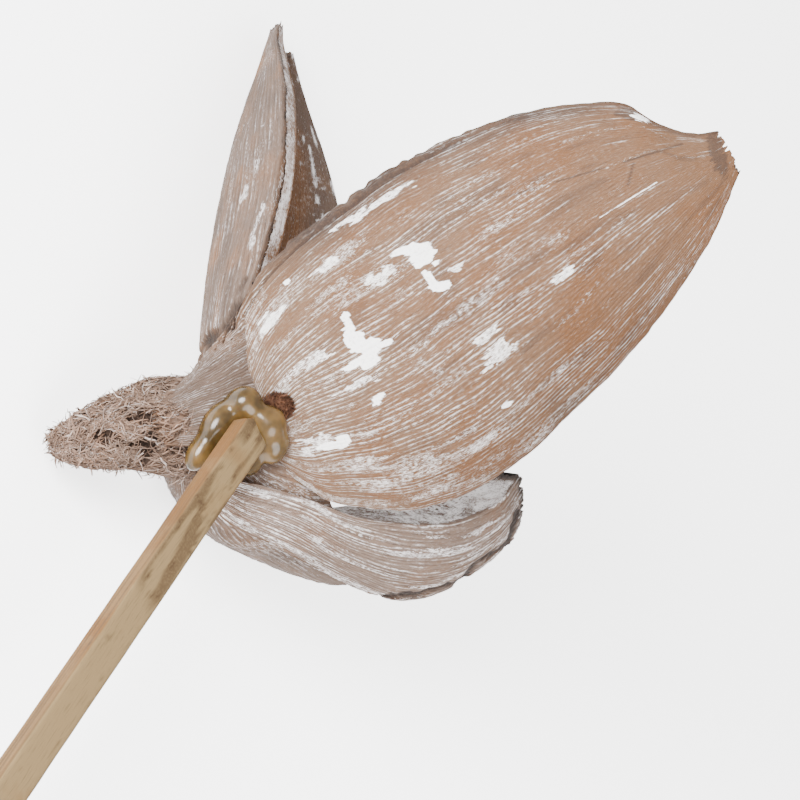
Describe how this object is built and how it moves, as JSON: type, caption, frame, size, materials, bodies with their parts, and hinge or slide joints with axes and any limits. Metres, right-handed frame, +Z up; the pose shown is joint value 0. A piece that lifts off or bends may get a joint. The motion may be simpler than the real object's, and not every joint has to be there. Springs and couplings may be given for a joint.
{
  "type": "dried seed pod on a stick",
  "caption": "Dried woody seed pod, split open into boat-shaped valves, set on a flat bamboo stick with a bead of glue and lying on its low points.",
  "frame": {"origin": "centre of the plan box, on the surface that the part lies on", "axes": "+Z up, +X along the stick from its free end to the pod, +Y across"},
  "size_m": [0.413, 0.094, 0.1034],
  "materials": {
    "pod": "matte",
    "bamboo": "satin",
    "glue": "gloss"
  },
  "bodies": {
    "root": {"pod": "pod", "bamboo_stick": "bamboo", "glue_bead": "glue"}
  },
  "joints": []
}
